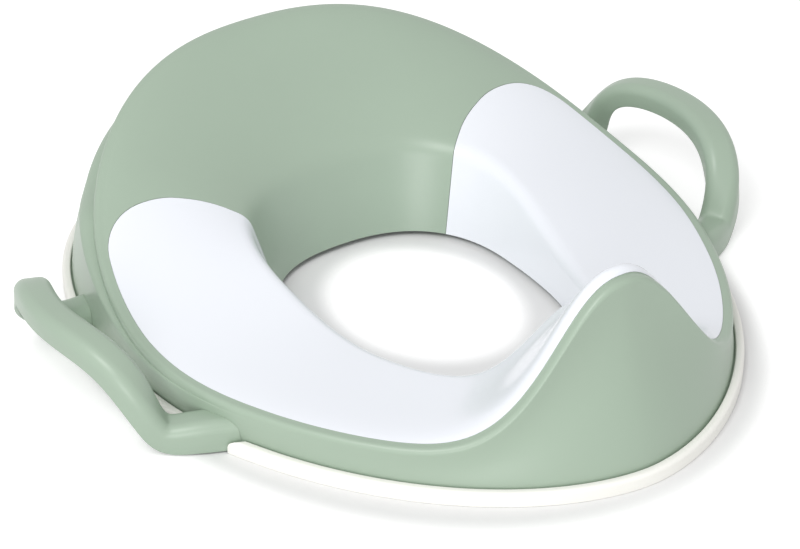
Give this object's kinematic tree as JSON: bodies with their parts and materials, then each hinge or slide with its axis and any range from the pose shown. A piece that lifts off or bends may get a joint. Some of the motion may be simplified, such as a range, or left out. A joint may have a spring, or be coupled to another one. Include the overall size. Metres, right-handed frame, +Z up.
{
  "type": "toilet training seat",
  "caption": "Ring-shaped moulded training seat for a toilet with a high back, splash guard, flush seat insert, loop handles at the sides and a soft rim under the base.",
  "frame": {"origin": "on the floor plane under the middle of the base, at the centre of the bounding box's bottom", "axes": "+X across the handles, towards the handle at the picture's right; +Y from the splash guard to the back; +Z up"},
  "size_m": [0.3792, 0.37, 0.096],
  "materials": {
    "shell_plastic": "satin moulded polypropylene, sage green",
    "insert_plastic": "glossy moulded polypropylene, cool white",
    "soft_rim": "matt thermoplastic elastomer, warm white",
    "screw_steel": "plain zinc-plated steel"
  },
  "bodies": {
    "root": {"seat_shell": "shell_plastic", "seat_insert": "insert_plastic", "left_handle": "shell_plastic", "right_handle": "shell_plastic", "front_rim": "soft_rim", "rear_rim": "soft_rim", "left_rim": "soft_rim", "right_rim": "soft_rim", "handle_screws": "screw_steel"}
  },
  "joints": []
}
